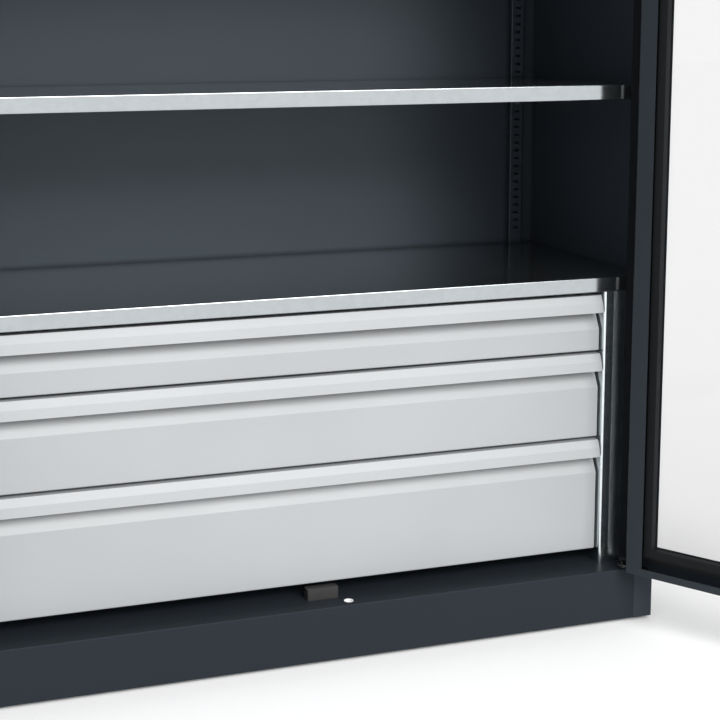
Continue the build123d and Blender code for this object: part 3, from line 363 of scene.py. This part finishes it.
def wall_coat_with_painted_seam_shade(name, colour, roughness, specular, gloss_tint):
    """Powder coat of the sheets behind the shelves, with painted shade along the shelves' edges."""
    material = powder_coat(name, colour, roughness, specular, gloss_tint)
    tree = material.node_tree
    shader = tree.nodes["Principled BSDF"]
    # Painted shade: the base colour and the tint of the gloss darken near the shelves' edges
    paint = painted_seam_shade(tree)
    tree.links.new(shader.inputs["Base Color"].links[0].from_socket, paint.inputs["Color"])
    tree.links.new(paint.outputs["Color"], shader.inputs["Base Color"])
    gloss = painted_seam_shade(tree)
    gloss.inputs["Color"].default_value = gloss_tint + (1.0,)
    tree.links.new(gloss.outputs["Color"], shader.inputs["Specular Tint"])
    return material


def rolled_zinc(name, colour, roughness, metallic):
    """Galvanised sheet: bright, with faint spangle and rolling streaks."""
    material, tree, shader = blank_material(name)
    less, more = ZINC_GLOSS_CHANGE
    streaks = noise(tree, ZINC_STREAKS, ZINC_STREAK_LAYERS, ZINC_STREAK_STRETCH)
    waves = noise(tree, ZINC_WAVES, stretch=ZINC_WAVE_STRETCH)
    vary_colour(tree, shader, spangle(tree, ZINC_SPANGLE), colour, ZINC_SHADE_CHANGE)
    vary_roughness(tree, shader, streaks, roughness - less, roughness + more)
    relief(tree, shader, waves, *METAL_RELIEF)
    shader.inputs["Metallic"].default_value = metallic
    return material


def worked_steel(name, colour, roughness):
    """Plain or blackened steel of the hinges and the lock gear, with fine drawing marks."""
    material, tree, shader = blank_material(name)
    less, more = STEEL_GLOSS_CHANGE
    marks = noise(tree, STEEL_MARKS, stretch=STEEL_MARK_STRETCH)
    vary_colour(tree, shader, noise(tree, STEEL_CLOUDS), colour, STEEL_SHADE_CHANGE)
    vary_roughness(tree, shader, marks, roughness - less, roughness + more)
    relief(tree, shader, marks, *METAL_RELIEF)
    shader.inputs["Metallic"].default_value = 1.0
    return material


def moulded(name, colour, roughness, grain_height, specular):
    """Moulded plastic or rubber with a fine spark-eroded grain, also the dark matte strips of painted shade."""
    material, tree, shader = blank_material(name)
    less, more = MOULDING_GLOSS_CHANGE
    grain = noise(tree, MOULDING_GRAIN)
    vary_colour(tree, shader, noise(tree, MOULDING_CLOUDS), colour, MOULDING_SHADE_CHANGE)
    vary_roughness(tree, shader, grain, roughness - less, roughness + more)
    relief(tree, shader, grain, grain_height, MOULDING_RELIEF_STRENGTH)
    shader.inputs["Specular IOR Level"].default_value = specular
    return material


def clear_pane(name):
    """Clear pane that lets light straight through, in places a little less polished."""
    material, tree, shader = blank_material(name)
    vary_roughness(tree, shader, noise(tree, PANE_PATCHES), 0.0, PANE_ROUGHNESS)
    shader.inputs["Base Color"].default_value = PANE + (1.0,)
    shader.inputs["Alpha"].default_value = PANE_COVER
    return material


def finishes():
    """The finishes by name: one for each slot of the record, and the nodes' own ones."""
    made = {
        "wall_coat_with_painted_light_and_shade": wall_coat_with_painted_seam_shade("wall_coat_with_painted_light_and_shade", *WALL_COAT_WITH_PAINTED_LIGHT),
        "clear_pane": clear_pane("clear_pane"),
    }
    for table, finish in (
        (POWDER_COATS, powder_coat),
        (ZINC_COATS, rolled_zinc),
        (WORKED_STEELS, worked_steel),
        (MOULDINGS, moulded),
    ):
        for name, values in table.items():
            made[name] = finish(name, *values)
    return made


def dress_nodes(made):
    """Gives each CAD node its own finish, or else that of its slot."""
    for part in frame["record"]["subparts"]:
        node = frame["nodes"][part["node"]]
        if not node.material_slots:
            node.data.materials.append(None)
        for place in node.material_slots:
            place.material = made[OWN_FINISH.get(part["node"], part["material_slot"])]


def prism(name, outline, bottom, top, material):
    """An upright strip with the given section, in the row frame."""
    count = len(outline)
    points = [(x, y, z) for z in (bottom, top) for x, y in outline]
    faces = [tuple(reversed(range(count))), tuple(range(count, 2 * count))]
    faces += [(n, (n + 1) % count, count + (n + 1) % count, count + n) for n in range(count)]
    return new_object(name, points, faces, material)


def painted_shade_strips(material):
    """The dark strip on the inner side of each door's hinge flange, beside the post: a sheet of painted shade."""
    swing = next(joint for joint in frame["joints"] if joint["name"] == "right_door_swing")
    low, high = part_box("right_door_panel")
    pivot_x, pivot_y = swing["pos_m"][:2]
    cosine = math.cos(math.radians(DOOR_OPEN_DEGREES))
    sine = math.sin(math.radians(DOOR_OPEN_DEGREES))
    right = [
        (pivot_x + x * cosine - y * sine, pivot_y + x * sine + y * cosine)
        for x, y in STRIP_SECTION
    ]
    left = [(-x, y) for x, y in reversed(right)]
    bottom = low.z + STRIP_MARGIN
    top = high.z - STRIP_MARGIN
    for side, outline in (("right", right), ("left", left)):
        strip = prism(side + "_door_painted_shade_strip", outline, bottom, top, material)
        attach(strip, side + "_door")


def lay_floor():
    """A plain pale floor."""
    material, _, shader = blank_material("floor")
    shader.inputs["Base Color"].default_value = FLOOR_SHADE + (1.0,)
    shader.inputs["Roughness"].default_value = FLOOR_ROUGHNESS
    shader.inputs["Specular IOR Level"].default_value = FLOOR_SPECULAR
    corners = ((-1, -1), (1, -1), (1, 1), (-1, 1))
    points = [(x * FLOOR_HALF, y * FLOOR_HALF, 0.0) for x, y in corners]
    floor = new_object("floor", points, [(0, 1, 2, 3)], material)


bpy.context.scene.view_settings.view_transform = "Standard"
aim_camera()
light_world()
light_sun()
lay_floor()
made = finishes()
dress_nodes(made)
# Dark strips of painted shade beside the doors' hinge flanges
painted_shade_strips(made["strip_rubber"])
